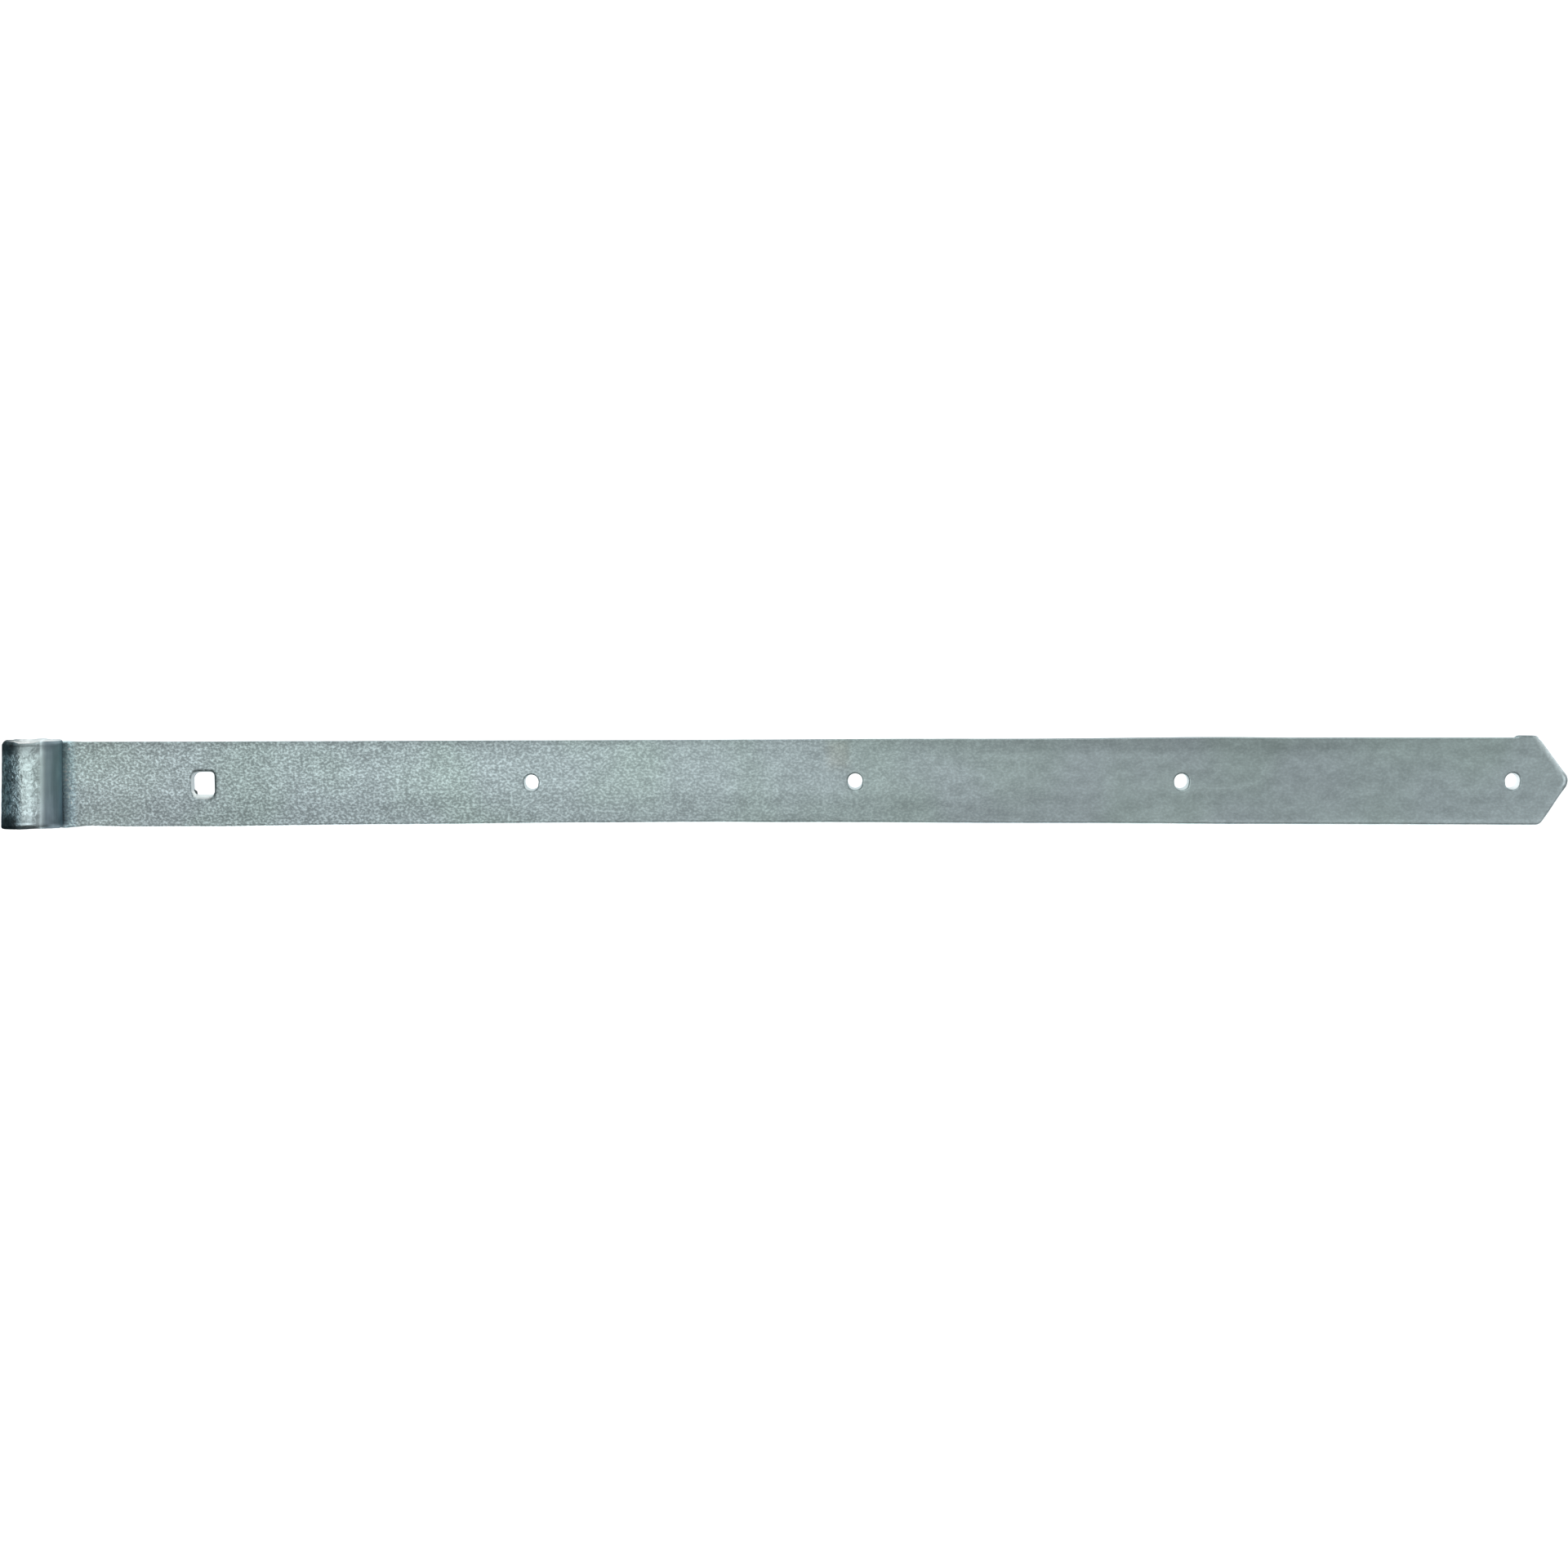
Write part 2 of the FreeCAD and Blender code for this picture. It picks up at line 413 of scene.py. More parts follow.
def punch(bm, x, reach, wall, front_rounding, aside):
    """Opens a hole at x: from each face, rings lead over its rim and meet halfway down."""
    middle = Vector((x, 0)) + Vector(aside) * MM
    around = [
        face
        for face in bm.faces
        if abs(face.verts[0].co.x - x) < 2 * reach
        and abs(face.normal.z) > FACES_FRONT_OR_BACK
        and abs(face.calc_center_median().x - x) < reach
        and abs(face.calc_center_median().y) < reach
    ]
    bmesh.ops.delete(bm, geom=around, context="FACES")
    mouths = [edge for edge in bm.edges if edge.is_boundary]
    meeting = []
    for face_z, inward, rounding in ((FRONT_Z, -1, front_rounding), (BACK_Z, 1, BACK_RIM_ROUND)):
        edges = [edge for edge in mouths if abs(edge.verts[0].co.z - face_z) < SAME_PLACE]
        for grow, z in rim(face_z, inward, rounding):
            made = bmesh.ops.extrude_edge_only(bm, edges=edges)["geom"]
            edges = only(bmesh.types.BMEdge, made)
            ring = only(bmesh.types.BMVert, made)
            for vert in ring:
                angle = math.atan2(vert.co.y, vert.co.x - x)
                away = wall(angle, grow, z)
                vert.co.xy = middle + away * Vector((math.cos(angle), math.sin(angle)))
                vert.co.z = z
        meeting += ring
    bmesh.ops.remove_doubles(bm, verts=meeting, dist=SAME_PLACE)


def roll_eye(bm):
    """Rolls the bar's end up, over and down on to its own front face, a seam's gap short."""
    rolled_angle = math.radians(270) + math.asin((BORE_RADIUS - SEAM_GAP) / EYE_RADIUS)
    end = [face for face in bm.faces if all(abs(vert.co.x) < SAME_PLACE for vert in face.verts)]
    geom = {item for face in end for item in [face, *face.edges, *face.verts]}
    bmesh.ops.spin(
        bm, geom=list(geom), cent=(0, 0, 0), axis=Y_AXIS, dvec=(0, 0, 0),
        angle=rolled_angle, steps=EYE_STEPS, use_merge=False, use_duplicate=False,
    )


def is_flat(x, z):
    """Is this place on the straight run of the bar, and not on its eye?"""
    return x > -SAME_PLACE and z < FRONT_Z + SAME_PLACE


def shape_eye(bm):
    """Bending stretches the bar's outside and squeezes its inside, which shows at the eye's ends."""
    lip_y = HALF_WIDTH - LIP_FROM_END
    for vert in bm.verts:
        x, y, z = vert.co
        if is_flat(x, z):
            continue
        radius = math.hypot(x, z)
        rolled = math.degrees(math.atan2(-x, -z)) % 360
        bent = smooth_step(*BENDS, rolled)
        inside = (EYE_RADIUS - radius) / THICKNESS
        outside = 1 - inside
        near_end = smooth_step(ENDS_FROM * HALF_WIDTH, HALF_WIDTH, abs(y))
        if y > 0:
            flare = UPPER_FLARE - UPPER_LIP_DIP * hump(LIP_DIP_MIDDLE, LIP_DIP_HALF_WIDTH, rolled)
            opened = smooth_step(*BORE_FLARE_STARTS, rolled) * smooth_step(*BORE_FLARE_ENDS, rolled)
            bore_flare = max(UPPER_BORE_FLARE * opened, UPPER_FLARE)
            vert.co.y += near_end * bent * (flare * outside + bore_flare * inside)
            end_droop = UPPER_END_DROOP * smooth_step(*UPPER_DROOP_ENDS, rolled)
        else:
            vert.co.y -= near_end * bent * LOWER_BORE_FLARE * inside
            end_droop = LOWER_END_DROOP * hump(LOWER_DROOP_MIDDLE, LOWER_DROOP_HALF_WIDTH, rolled)
        rise = LIP_RISE * hump(lip_y, LIP_FROM_END, abs(y)) * smooth_step(*LIP_STARTS, rolled)
        droop = end_droop * smooth_step(lip_y, HALF_WIDTH, abs(y))
        scale = 1 + outside * bent * (rise - droop) / radius
        far_side = max(-x, 0) / EYE_RADIUS
        askew = EYE_ASKEW + FAR_SIDE_ASKEW * far_side
        vert.co.x = x * scale * (1 + EYE_OVAL * far_side) + askew * y * bent
        vert.co.z *= scale


def drag_down_cut(bm):
    """The front face falls away beside the upper slanting cut and round the tip."""
    slant = Vector((math.sin(TIP_CUT_ANGLE), math.cos(TIP_CUT_ANGLE)))
    tip_centre = Vector((TIP_X - TIP_ROUND, 0))
    for vert in bm.verts:
        if vert.co.x < BURR_FROM or vert.co.z < FRONT_Z - DRAGGED_SHARE * THICKNESS:
            continue
        from_centre = vert.co.xy - tip_centre
        off_cut = TIP_ROUND - from_centre.dot(slant)
        if from_centre.y < 0 < from_centre.x:
            off_cut = TIP_ROUND - from_centre.length
        depth = TIP_DRAG_DEPTH * smooth_step(*TIP_DRAG_STARTS, vert.co.y)
        depth += (DRAG_DEPTH - TIP_DRAG_DEPTH) * smooth_step(*FULL_DRAG_STARTS, vert.co.y)
        vert.co.z -= depth * smooth_step(DRAG_WIDTH, 0, off_cut)


def strayed(table, x):
    """What a table of (place in metres, millimetres) gives between its places."""
    for (start, low_value), (end, high_value) in zip(table, table[1:]):
        if x <= end:
            return MM * (low_value + (high_value - low_value) * smooth_step(start, end, x))
    return MM * table[-1][1]


def stray_edges(bm):
    """The bar isn't quite straight: its long edges wander, by up to two millimetres."""
    for vert in bm.verts:
        x, y, z = vert.co
        share = smooth_step(STRAYS_FROM * HALF_WIDTH, HALF_WIDTH, abs(y))
        if y < 0:
            vert.co.y -= share * strayed(LOWER_EDGE if is_flat(x, z) else LOWER_EYE_EDGE, x)
        elif is_flat(x, z):
            vert.co.y += share * strayed(UPPER_EDGE, x)


def shape_surface(bm):
    """The faces are hot-rolled and dipped: never quite flat, and lumpy round the eye."""
    bm.normal_update()
    moves = []
    for vert in bm.verts:
        wave = noise.noise(vert.co * (1 / WAVE_LENGTH))
        lump = noise.noise(vert.co * (1 / LUMP_LENGTH) + LUMP_SHIFT)
        on_eye = smooth_step(*LUMPS_START, vert.co.z)
        moves.append(wave * WAVE_HEIGHT + lump * LUMP_HEIGHT * on_eye)
    for vert, move in zip(bm.verts, moves):
        vert.co += vert.normal * move


def raise_burr(bm):
    """The shears left a small burr on the upper edge, just short of its slanting cut."""
    for vert in bm.verts:
        x, y = vert.co.xy
        begun = smooth_step(BURR_FROM, BURR_FROM + BURR_RISE, x)
        ended = smooth_step(BURR_TO, BURR_TO - BURR_FALL, x)
        at_edge = smooth_step(HALF_WIDTH - BURR_REACH_IN, HALF_WIDTH, y)
        vert.co.y += BURR_HEIGHT * begun * ended * at_edge


def make_band():
    """The band in the order of its making: sheared, punched, rolled and dipped."""
    bm = cut_blank()
    divide_into_cells(bm)
    for x, aside in zip(SCREW_HOLES_X, ROUND_HOLES_ASIDE):
        punch(bm, x, SCREW_HOLE_PATCH, screw_hole, FRONT_RIM_ROUND, aside)
    punch(bm, BOLT_HOLE_X, BOLT_HOLE_PATCH, square_hole, SQUARE_RIM_ROUND, SQUARE_HOLE_ASIDE)
    raise_burr(bm)
    drag_down_cut(bm)
    roll_eye(bm)
    bmesh.ops.recalc_face_normals(bm, faces=bm.faces[:])
    shape_eye(bm)
    stray_edges(bm)
    shape_surface(bm)
    for face in bm.faces:
        face.smooth = True
    return place_in_scene(bm, "galvanised_band")


class Reading:
    """A number that varies over a surface. Python's arithmetic on it adds Math nodes."""

    def __init__(self, finish, socket):
        self.finish = finish
        self.socket = socket

    def worked(self, operation, *values):
        return self.finish.add("ShaderNodeMath", {"operation": operation}, dict(enumerate(values)))[0]

    def __add__(self, other):
        return self.worked("ADD", self, other)

    def __radd__(self, other):
        return self.worked("ADD", other, self)

    def __sub__(self, other):
        return self.worked("SUBTRACT", self, other)

    def __rsub__(self, other):
        return self.worked("SUBTRACT", other, self)

    def __mul__(self, other):
        return self.worked("MULTIPLY", self, other)

    def __rmul__(self, other):
        return self.worked("MULTIPLY", other, self)


class Finish:
    """The nodes of a material or a world under construction."""

    # A Mix node's sockets for colours, by number, because its others have the same names
    MIX_SHARE = 0
    MIX_FIRST = 6
    MIX_SECOND = 7
    MIX_RESULT = 2

    def __init__(self, owner):
        owner.use_nodes = True
        self.owner = owner
        self.nodes = owner.node_tree.nodes
        self.links = owner.node_tree.links
        self.nodes.clear()

    def add(self, kind, settings, values):
        """Adds a node, sets it up, fills or links its sockets, and gives its outputs."""
        node = self.nodes.new(kind)
        for name, setting in settings.items():
            setattr(node, name, setting)
        for socket, value in values.items():
            if isinstance(value, Reading):
                self.links.new(value.socket, node.inputs[socket])
            else:
                node.inputs[socket].default_value = value
        by_number = dict(enumerate(Reading(self, output) for output in node.outputs))
        by_name = {reading.socket.name: reading for reading in by_number.values()}
        return {**by_number, **by_name}

    def place(self):
        """Where the surface point is, in metres: the whole vector, then x, y and z."""
        where = self.add("ShaderNodeTexCoord", {}, {})["Object"]
        apart = self.add("ShaderNodeSeparateXYZ", {}, {"Vector": where})
        return where, apart["X"], apart["Y"], apart["Z"]

    def noise(self, where, size, detail=2.0, roughness=0.5, distortion=0.0):
        """Noise from 0 to 1 whose patches are about this size, in metres."""
        return self.add(
            "ShaderNodeTexNoise",
            {"noise_dimensions": "3D"},
            {"Vector": where, "Scale": 1 / size, "Detail": detail,
             "Roughness": roughness, "Distortion": distortion},
        )["Fac"]

    def between(self, value, start, end, at_start=0.0, at_end=1.0):
        """Turns a reading smoothly into another, which has its own values at start and end."""
        return self.add(
            "ShaderNodeMapRange",
            {"interpolation_type": "SMOOTHSTEP"},
            {"Value": value, "From Min": start, "From Max": end, "To Min": at_start, "To Max": at_end},
        )["Result"]

    def stretched(self, where, scale):
        return self.add(
            "ShaderNodeMapping", {"vector_type": "POINT"}, {"Vector": where, "Scale": scale}
        )["Vector"]

    def either_way(self, value):
        """How far from nothing a reading is, to either side."""
        return self.add("ShaderNodeMath", {"operation": "ABSOLUTE"}, {0: value})[0]

    def distance(self, where, place):
        return self.add(
            "ShaderNodeVectorMath", {"operation": "DISTANCE"}, {0: where, 1: place}
        )["Value"]

    def band(self, value, centre, half_width):
        """1 where a reading is at the centre, and 0 from half a width away on."""
        return self.between(self.either_way(value - centre), half_width, 0.3 * half_width)

    def blend(self, share, first, second, way="MIX"):
        """Two colours, mixed by a share from 0 to 1."""
        return self.add(
            "ShaderNodeMix",
            {"data_type": "RGBA", "blend_type": way},
            {self.MIX_SHARE: share, self.MIX_FIRST: first, self.MIX_SECOND: second},
        )[self.MIX_RESULT]

    def tinted(self, share, colour, tint):
        """A colour, multiplied by a tint where the share is 1."""
        return self.blend(share, colour, self.blend(1.0, colour, tint, "MULTIPLY"))

    def close(self, output, shader):
        """Links the last shader to the output, and gives the finished material or world."""
        self.add(output, {}, {"Surface": shader})
        return self.owner


def start_material(name):
    """A new material, with no nodes yet."""
    return Finish(bpy.data.materials.new(name))


class Spot:
    """Where on the band a point of its surface is: places in metres, and shares from 0 to 1."""

    def __init__(self, finish):
        between = finish.between
        self.where, self.x, self.y, self.z = finish.place()
        self.from_middle = finish.either_way(self.y)
        self.leaning = self.x - self.y * MARKS_LEAN

        # On the eye, which is pressed smooth beside its seam and left rough from there on
        self.on_eye = between(self.z, FRONT_Z + 0.1 * MM, FRONT_Z + 0.8 * MM)
        self.pressed = self.on_eye * between(self.leaning, *PRESSED_SIDE)
        self.unpressed = self.on_eye * (1.0 - self.pressed)
        self.near_end = self.on_eye * between(self.from_middle, 12.0 * MM, 17.5 * MM)
        self.rough_eye = self.unpressed * (1.0 - 0.55 * self.near_end)
        self.far_side = between(self.x, -1 * MM, -4 * MM)
        self.steep = between(self.x, -6 * MM, -9 * MM)

        # On the flat, and on its front with the rounding of its edges
        self.on_flat = 1.0 - self.on_eye
        self.near_front = between(self.z, FRONT_Z - 1.6 * MM, FRONT_Z - 1.2 * MM) * self.on_flat
        self.lie_down = between(self.x, 0.1, 0.56)

        # On the upper slanting cut, and less on the lower one, where a highlight is painted
        cut_line = self.x * math.sin(TIP_CUT_ANGLE) + self.from_middle * math.cos(TIP_CUT_ANGLE)
        cut_at = TIP_ROUND + (TIP_X - TIP_ROUND) * math.sin(TIP_CUT_ANGLE)
        dragged = between(cut_line, cut_at - DRAG_WIDTH, cut_at + 0.2 * MM) * self.near_front
        self.dragged = dragged * between(self.y, -5 * MM, 3 * MM, 0.12, 0.62)


def zinc_grain(finish, spot):
    """The zinc's grain: what it does to the tone, and how high it stands."""
    laid_out = finish.stretched(spot.where, (0.74, 1.0, 1.0))
    along_eye = finish.stretched(spot.where, (1.0, 0.08, 1.0))
    along_bar = finish.stretched(spot.where, (0.12, 1.0, 1.0))
    grain = finish.noise(laid_out, GRAIN_SIZE, detail=1.0, roughness=0.6, distortion=0.1)
    coarse = finish.noise(spot.where, MOTTLE_SIZE, detail=2.0, roughness=0.6, distortion=0.6)
    clouds = finish.noise(laid_out, CLOUD_SIZE, detail=2.0, roughness=0.6)
    streaks = finish.noise(along_eye, STREAK_SIZE, detail=2.0)
    smears = finish.noise(along_bar, SMEAR_SIZE, detail=2.0)

    # The grain is strongest at the near end of the flat, but for a strip beside the eye
    strength = (1.08 - 0.84 * spot.lie_down) * (1.0 - spot.pressed) * (1.0 - 0.5 * spot.on_eye)
    strength = strength * finish.between(spot.x, 11.5 * MM, 14.5 * MM, 0.5, 1.0)
    speckle = finish.between(grain, 0.36, 0.76, 0.77, 1.58)
    mottle = finish.between(coarse, 0.3, 0.75, 0.74, 1.38)
    cloud = finish.between(clouds, 0.25, 0.75, 0.9, 1.1)
    streak = finish.between(streaks, 0.3, 0.7, 0.94, 1.06)
    smear = finish.between(smears, 0.35, 0.65, 0.96, 1.04)
    tone = (1.0 + (speckle - 1.0) * strength) * (1.0 + (cloud - 1.0) * (1.0 - spot.pressed))
    tone = tone * (1.0 + (mottle - 1.0) * spot.rough_eye * (1.0 + 1.2 * spot.far_side))
    tone = tone * (1.0 + (streak - 1.0) * spot.on_eye) * smear
    height = grain * strength + coarse * spot.rough_eye * (2.9 + 2.0 * spot.far_side)
    return tone, height


def flat_tone(finish, spot):
    """Across the flat: brightest along the middle and darker inside the upper edge, partly its own
    tone and partly painted shade, with painted highlights on the lower rounded edge and painted shade
    in the hollow under the eye.
    """
    between = finish.between
    x, y, z = spot.x, spot.y, spot.z
    # Tone across the flat, partly its own and partly painted shade
    upper_part = between(y, 11 * MM, 16 * MM) * spot.on_flat
    lower_part = between(y, -3 * MM, -11 * MM) * spot.on_flat
    tone = 1.03 - 0.075 * upper_part - lower_part * between(x, 0.62, 0.38, -0.02, 0.17)
    upper_edge = between(y, 16.8 * MM, 18.4 * MM) * between(x, 0.5, 0.3) * spot.on_flat
    darker_top = upper_part * between(x, 0.38, 0.44) * between(x, 0.66, 0.6)
    tone = tone * (1.0 - 0.12 * upper_edge - 0.11 * darker_top)
    # Painted highlights along the lower rounded edge, past the eye
    lower_round_highlight = between(z, FRONT_Z - 0.04 * MM, FRONT_Z - 0.32 * MM) * spot.near_front
    lower_round_highlight = lower_round_highlight * between(y, -15 * MM, -17 * MM)
    lower_edge_highlight = between(y, -18.2 * MM, -20 * MM) * spot.near_front
    past_eye = between(x, 14 * MM, 26 * MM)
    tone = tone * (1.0 + (1.1 * lower_round_highlight + 0.2 * lower_edge_highlight) * past_eye)
    scuff = finish.band(x, 0.623, 1.2 * MM) * between(y, 10 * MM, 14 * MM)
    # Painted shade in the crevice under the eye
    crevice = between(x, 11.3 * MM, 10.8 * MM) * spot.near_front
    return tone * (1.0 - 0.08 * scuff) * (1.0 - 0.35 * crevice)


def tip_tone(finish, spot):
    """Painted light at the tip: a painted highlight on the dragged cuts and a bright line inside the
    tip, painted shade round its end, and the burr's dark crest.
    """
    off_tip = finish.distance(spot.where, (TIP_X - 3.9 * MM, -0.4 * MM, FRONT_Z))
    tip_only = finish.between(spot.x, TIP_X - 3 * MM, TIP_X - 1 * MM)
    tip_highlight = finish.band(off_tip, 2.7 * MM, 0.9 * MM) * tip_only
    tip_shade = finish.between(off_tip, 3.3 * MM, 3.9 * MM) * tip_only
    burr_crest = finish.between(spot.y, 20.4 * MM, 20.8 * MM)
    burr_crest = burr_crest * finish.between(spot.x, BURR_FROM - 1 * MM, BURR_FROM)
    return (1.0 + spot.dragged + 0.8 * tip_highlight - 0.45 * tip_shade) * (1.0 - 0.4 * burr_crest)


def bolt_hole_tone(finish, spot):
    """Painted shade on the square hole's upper and right rims."""
    between = finish.between
    x = spot.x
    off_front = between(spot.z, FRONT_Z - 0.04 * MM, FRONT_Z - 0.18 * MM)
    rim_shade = between(x, 0.1, 0.095) * between(x, 0.065, 0.07) * off_front
    rim_shade = rim_shade * between(spot.from_middle, 12 * MM, 11 * MM)
    rim_shade = rim_shade * between(x + spot.y, BOLT_HOLE_X - 2 * MM, BOLT_HOLE_X + 1 * MM)
    depth = between(x, BOLT_HOLE_X + 2 * MM, BOLT_HOLE_X + 5 * MM, 0.28, 0.5)
    return 1.0 - depth * rim_shade


def eye_tone(finish, spot):
    """Painted light and shade on the eye: lit and dark stripes along it, darker ends, and painted
    highlight lines, painted shade lines and a shaded lip at its ends.
    """
    between = finish.between
    x, y, z = spot.x, spot.y, spot.z
    # Painted light and shade: a lit strip, a band of painted shade, and the steep far side painted
    # brighter
    lit_strip = finish.band(spot.leaning, LIT_STRIP_X, 1.8 * MM)
    shade_band = finish.band(x, SHADE_BAND_X, 2.4 * MM)
    stripes = 1.0 + spot.on_eye * (0.3 * spot.steep + 0.17 * lit_strip - 0.24 * shade_band)
    # Painted shade: the eye's ends darker, more on its far side
    ends = 1.0 - spot.near_end * spot.unpressed * (0.34 + 0.36 * spot.far_side)

    # Painted highlight and shade lines and lips along the two ends
    crown = between(x, -5 * MM, -2 * MM) * between(x, 11 * MM, 9 * MM) * spot.on_eye
    lower_highlight_line = finish.band(y, -18.2 * MM, 0.8 * MM) * crown * between(x, 7 * MM, 4.5 * MM)
    upper_shade_line = finish.band(y, 18.9 * MM, 0.7 * MM) * crown
    lower_lip_shade = between(y, -18.9 * MM, -19.8 * MM) * between(x, 6 * MM, -3 * MM) * spot.on_eye
    seam_highlight_line = finish.band(spot.leaning, SEAM_HIGHLIGHT_X, 0.7 * MM) * spot.near_end
    # The lower and seam lines are painted highlights, and the upper line and lower lip are painted
    # shade
    lines = 1.0 + 0.8 * lower_highlight_line - 0.35 * upper_shade_line - 0.45 * lower_lip_shade + 0.2 * seam_highlight_line

    # The shade under the eye's seam side, and at both ends of it
    under = spot.on_eye * between(z, 2 * MM, -5 * MM) * between(x, 9 * MM, 11 * MM)
    upper_end = between(y, 17.5 * MM, 19.5 * MM, 0.0, 0.22)
    lower_end = between(y, -12 * MM, -18 * MM, 0.0, 0.3)
    shade = (1.0 - 0.65 * under) * (
        1.0 - (upper_end + lower_end) * spot.pressed - 0.6 * lower_end * spot.rough_eye
    )
    return stripes * ends * lines * shade


def zinc_colour(finish, spot):
    """The zinc's colour before its tone, from the eye to the tip, with painted light and shade beside
    the eye, on the pressed side and on the eye's far side.
    """
    between = finish.between
    x, y = spot.x, spot.y
    colour = ZINC_AT_EYE
    for start, end, next_colour in ZINC_ALONG_BAR:
        colour = finish.blend(between(x, start, end), colour, next_colour)
    # The flat beside the eye is painted lighter and bluer, as painted light over the eye's shade there
    lit_beside_eye = between(x, 18.5 * MM, 13.5 * MM) * spot.near_front
    colour = finish.blend(lit_beside_eye, colour, PAINTED_LIGHT_BESIDE_EYE)
    colour = finish.blend(spot.unpressed, colour, ZINC_ON_EYE)
    # The pressed side is painted from lit to shaded as it turns away from the light
    turned_away = between(spot.leaning, 8.5 * MM, 10.8 * MM)
    colour = finish.blend(spot.pressed, colour, finish.blend(turned_away, PRESSED_LIT, PRESSED_SHADED))
    # The eye's far side gets the tints of a painted reflection, warmer where it is steep
    colour = finish.tinted(between(x, 1.5 * MM, -2 * MM) * spot.on_eye, colour, COLD_SIDE)
    colour = finish.tinted(spot.steep * spot.on_eye, colour, WARM_STEEP)
    # The dragged cut, under its painted highlight, is tinted warm
    colour = finish.tinted(spot.dragged, colour, WARM_CUT)
    tints = finish.noise(spot.where, TINT_SIZE, detail=1.0)
    patchy = finish.blend(between(tints, 0.35, 0.65), GREENISH, PURPLISH)
    colour = finish.blend(1.0, colour, patchy, "MULTIPLY")
    stain = finish.band(x, 0.389, 8 * MM) * finish.band(y, 13 * MM, 10 * MM)
    return finish.tinted(stain, colour, BROWNISH)


def paint_lip_highlight(finish, spot, base):
    """The eye's upper lip is painted near white in a crescent, as a painted highlight, which fades
    towards the seam.
    """
    between = finish.between
    off_dip = finish.either_way(spot.x - 3 * MM)
    highlight_from = between(off_dip, 2.4 * MM, 6.4 * MM, 20.0 * MM, 20.8 * MM)
    lip_highlight = between(spot.y - highlight_from, 0.0, 0.3 * MM) * spot.on_eye
    crescent = between(spot.x, 2.5 * MM, 6.5 * MM, 1.0, 0.66)
    return finish.blend(lip_highlight * crescent, base, PAINTED_LIP_HIGHLIGHT)


def line_holes(finish, spot, base):
    """The holes' walls are painted in light greys as painted reflection, and one corner of the square
    hole has a near-black spot.
    """
    between = finish.between
    x = spot.x
    inside = between(spot.z, FRONT_Z - 0.5 * MM, FRONT_Z - 1.1 * MM)
    inside = inside * between(spot.z, BACK_Z + 0.02 * MM, BACK_Z + 0.2 * MM)
    inside = inside * between(spot.from_middle, 12 * MM, 11 * MM)
    inside = inside * between(x, HOLES_FROM_X, HOLES_FROM_X + 10 * MM)
    inside = inside * between(x, HOLES_TO_X, HOLES_TO_X - 5 * MM)
    # The walls are painted in light greys as painted reflection
    base = finish.blend(inside, base, HOLE_WALL)
    base = finish.blend(inside * between(x, 0.6, 0.65), base, LAST_HOLE_WALL)
    by_bolt = between(x, SQUARE_HOLE_TO_X, SQUARE_HOLE_TO_X - 10 * MM)
    base = finish.blend(inside * by_bolt, base, SQUARE_HOLE_WALL)
    base = finish.blend(inside * between(spot.y, -3.5 * MM, -5 * MM), base, TORN_WALL)
    dark_spot = between(finish.distance(spot.where, DARK_SPOT_PLACE), *DARK_SPOT_EDGE)
    return finish.blend(dark_spot, base, DARK_SPOT_BLACK)


def zinc_coat():
    """Hot-dipped zinc: a fine sparkling grain that lies down towards the band's tip."""
    finish = start_material("galvanised_zinc")
    spot = Spot(finish)
    grain_tone, height = zinc_grain(finish, spot)
    tone = grain_tone * flat_tone(finish, spot) * tip_tone(finish, spot)
    tone = tone * bolt_hole_tone(finish, spot) * eye_tone(finish, spot)
    base = finish.add(
        "ShaderNodeVectorMath",
        {"operation": "SCALE"},
        {"Vector": zinc_colour(finish, spot), "Scale": tone},
    )["Vector"]
    base = paint_lip_highlight(finish, spot, base)
    base = line_holes(finish, spot, base)
    bump = finish.add(
        "ShaderNodeBump", {}, {"Height": height, "Distance": GRAIN_HEIGHT, "Strength": 0.8}
    )["Normal"]
    rough = 0.50 - 0.16 * spot.unpressed - 0.08 * spot.lie_down - 0.10 * spot.pressed
    shader = finish.add(
        "ShaderNodeBsdfPrincipled",
        {},
        {"Base Color": base, "Metallic": 1.0, "Roughness": rough, "Normal": bump,
         "Specular Tint": EDGE_TINT},
    )["BSDF"]
    return finish.close("ShaderNodeOutputMaterial", shader)


def floor_paint():
    """White, lit by the lamps, and lifted to the white of a clear background where it is seen."""
    finish = start_material("studio_white")
    ray = finish.add("ShaderNodeLightPath", {}, {})
    seen = ray["Is Camera Ray"] * FLOOR_LIFT
    mirrored = (ray["Is Glossy Ray"] + ray["Is Transmission Ray"]) * MIRRORED_FLOOR_LIFT
    diffuse = finish.add("ShaderNodeBsdfDiffuse", {}, {"Color": FLOOR_PAINT})["BSDF"]
    glow = finish.add(
        "ShaderNodeEmission", {}, {"Color": WHITE, "Strength": seen + mirrored}
    )["Emission"]
    both = finish.add("ShaderNodeAddShader", {}, {0: diffuse, 1: glow})[0]
    return finish.close("ShaderNodeOutputMaterial", both)


def card_paint(name):
    finish = start_material(name)
    diffuse = finish.add("ShaderNodeBsdfDiffuse", {}, {"Color": CARD_BLACK})["BSDF"]
    return finish.close("ShaderNodeOutputMaterial", diffuse)


def studio_walls():
    """The world: dim light from all round, but white where the camera looks past the floor."""
    finish = Finish(bpy.data.worlds.new("studio"))
    ray = finish.add("ShaderNodeLightPath", {}, {})
    strength = SURROUNDINGS + (1.0 - SURROUNDINGS) * ray["Is Camera Ray"]
    backdrop = finish.add(
        "ShaderNodeBackground", {}, {"Color": WHITE, "Strength": strength}
    )["Background"]
    return finish.close("ShaderNodeOutputWorld", backdrop)


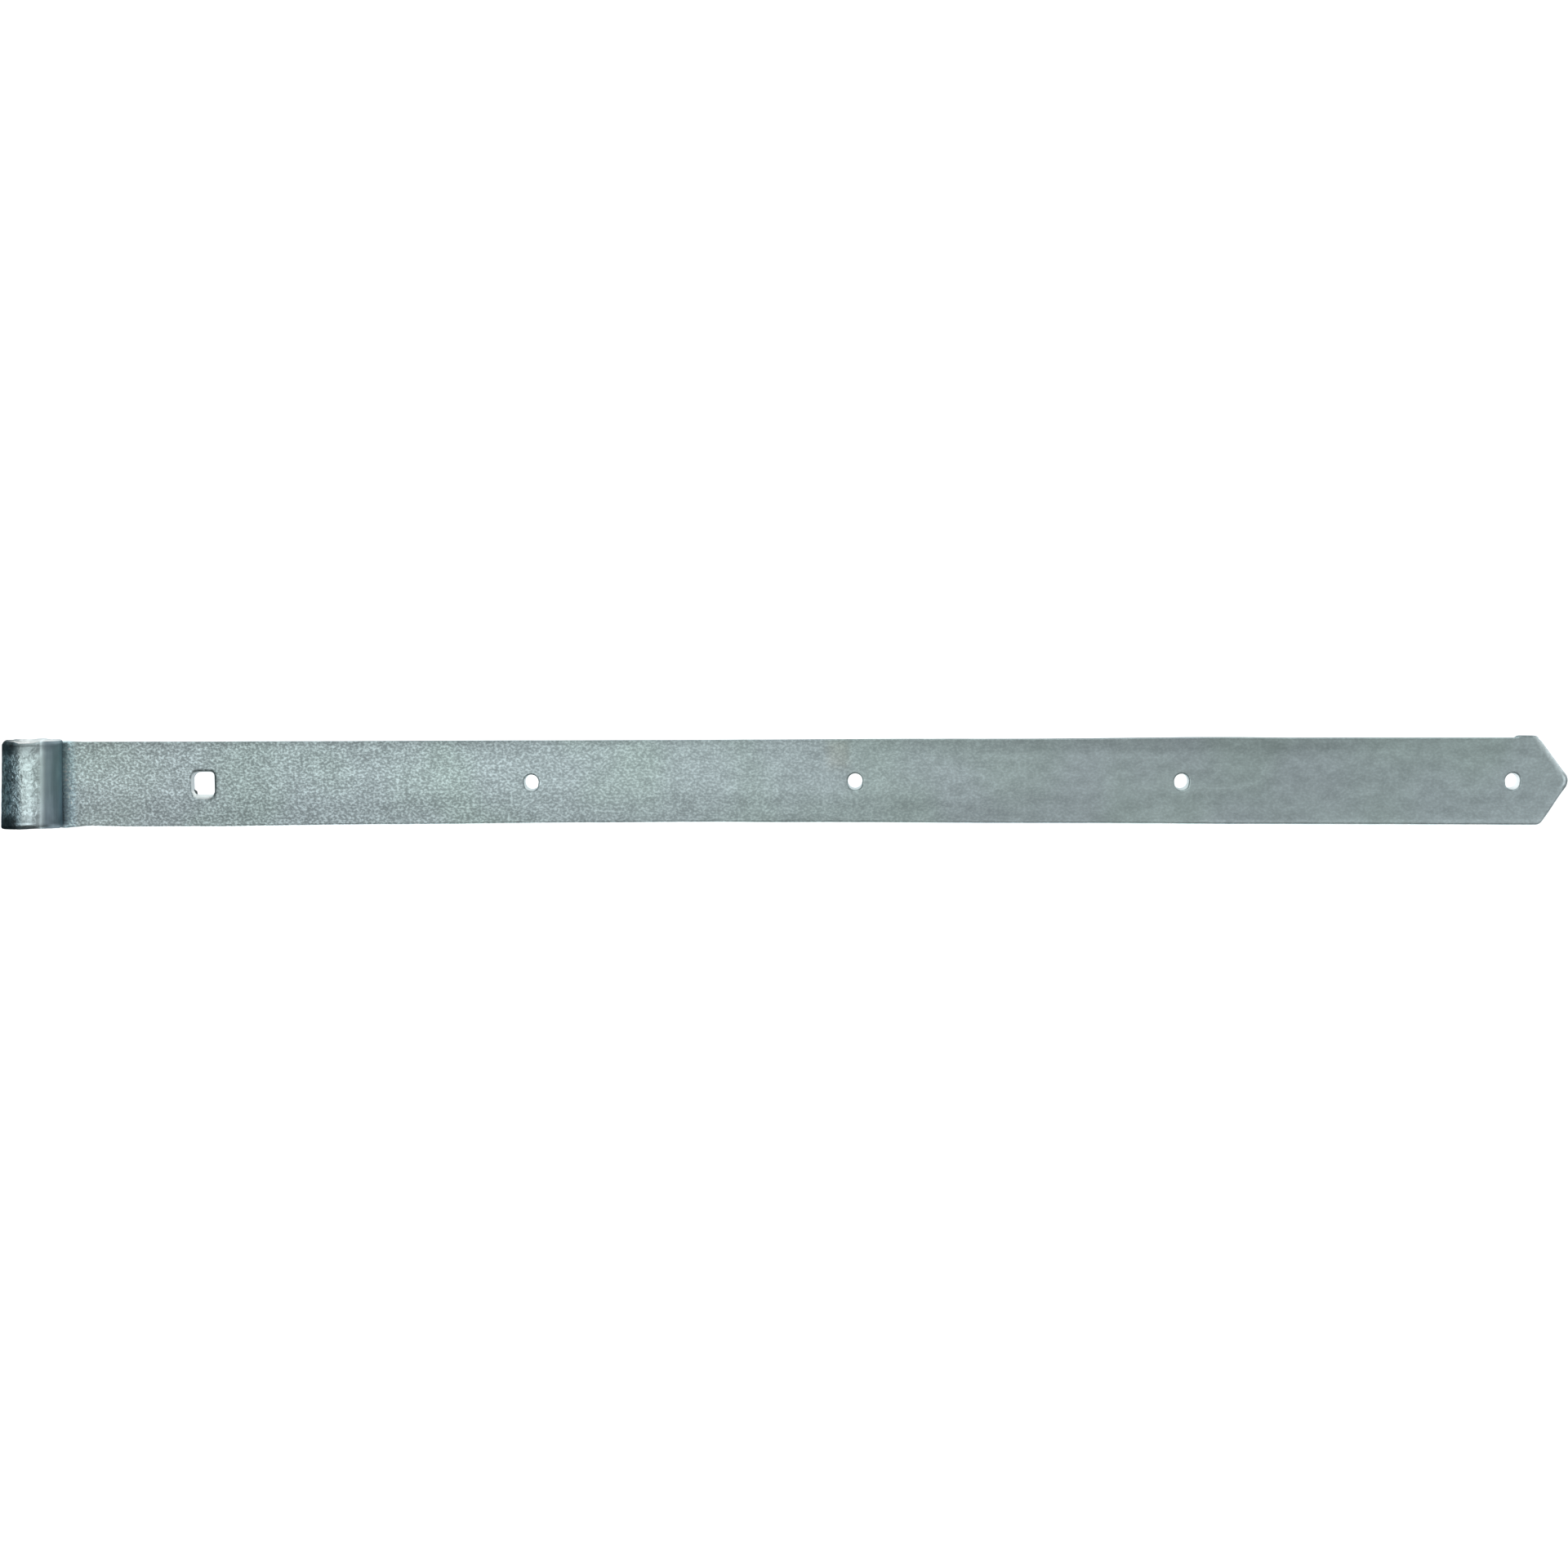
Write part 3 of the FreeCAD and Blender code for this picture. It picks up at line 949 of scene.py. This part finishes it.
def lay_floor():
    bm = bmesh.new()
    middle = Matrix.Translation((TIP_X / 2, 0, BACK_Z - FLOOR_BELOW))
    bmesh.ops.create_grid(bm, x_segments=1, y_segments=1, size=FLOOR_SIZE, matrix=middle)
    floor = place_in_scene(bm, "floor")
    floor.data.materials.append(floor_paint())


def stand_dark_card(name, near_side, stretch, rise):
    """Black card laid and stood up beside the eye, which only the metal's gloss shows."""
    bm = bmesh.new()
    foot = [bm.verts.new((x, y, BACK_Z + CARD_LIFT)) for x, y in near_side]
    edges = [bm.edges.new(foot)]
    for move in (stretch, rise):
        made = bmesh.ops.extrude_edge_only(bm, edges=edges)["geom"]
        edges = only(bmesh.types.BMEdge, made)
        bmesh.ops.translate(bm, vec=move, verts=only(bmesh.types.BMVert, made))
    card = place_in_scene(bm, name)
    card.data.materials.append(card_paint(name))
    card.visible_camera = False
    card.visible_diffuse = False
    card.visible_shadow = False
    card.visible_transmission = False


def hang_lamp(name, place, target, width, length, radiance):
    """A soft rectangular lamp whose face has this radiance, where 1 lights white paper white."""
    data = bpy.data.lights.new(name, "AREA")
    data.shape = "RECTANGLE"
    data.size = width
    data.size_y = length
    data.energy = radiance * width * length * math.pi
    lamp = bpy.data.objects.new(name, data)
    bpy.context.scene.collection.objects.link(lamp)
    aim = (Vector(target) - Vector(place)).to_track_quat("-Z", "Y")
    lamp.matrix_world = Matrix.Translation(place) @ aim.to_matrix().to_4x4()


def set_up_studio():
    lay_floor()
    bpy.context.scene.world = studio_walls()
    for lamp in LAMPS:
        hang_lamp(*lamp)
    for card in CARDS:
        stand_dark_card(*card)
    bpy.context.scene.view_settings.view_transform = "Standard"


def set_up_camera():
    data = bpy.data.cameras.new("camera")
    data.sensor_width = CAMERA_SENSOR
    data.lens = CAMERA_LENS
    camera = bpy.data.objects.new("camera", data)
    bpy.context.scene.collection.objects.link(camera)
    turn = (
        Matrix.Rotation(math.radians(CAMERA_SWING), 4, "Y")
        @ Matrix.Rotation(math.radians(CAMERA_PITCH), 4, "X")
        @ Matrix.Rotation(math.radians(CAMERA_ROLL), 4, "Z")
    )
    camera.matrix_world = Matrix.Translation(CAMERA_PLACE) @ turn
    bpy.context.scene.camera = camera


band = make_band()
band.data.materials.append(zinc_coat())
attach(band, "root")
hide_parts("band")
set_up_studio()
set_up_camera()
